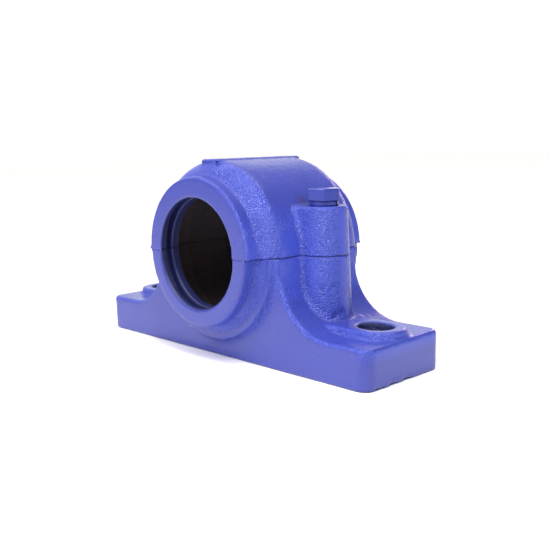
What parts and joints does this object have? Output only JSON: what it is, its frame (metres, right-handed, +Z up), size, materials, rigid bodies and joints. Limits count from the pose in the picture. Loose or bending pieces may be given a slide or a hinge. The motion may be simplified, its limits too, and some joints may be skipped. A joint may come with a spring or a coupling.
{
  "type": "pillow block housing",
  "caption": "Split housing for a shaft bearing: a long slotted foot carries a round barrel whose bolted cap opens at the shaft line, with a lipped bore at each end.",
  "frame": {"origin": "middle of the flat underside of the foot", "axes": "+X along the foot from slot to slot, +Y along the shaft, +Z up from the underside to the cap"},
  "size_m": [0.255, 0.105, 0.1296],
  "materials": {
    "blue_enamel_castings": "glossy blue enamel over cast skin, dark primer inside",
    "blue_enamel_bolts": "the same blue enamel over hexagon bolts and split washers",
    "bare_steel": "plain ground pins"
  },
  "bodies": {
    "root": {"base": "blue_enamel_castings", "cap": "blue_enamel_castings", "cap_bolt_left": "blue_enamel_bolts", "cap_bolt_right": "blue_enamel_bolts", "spring_washer_left": "blue_enamel_bolts", "spring_washer_right": "blue_enamel_bolts", "locating_pin_front": "bare_steel", "locating_pin_back": "bare_steel"}
  },
  "joints": []
}
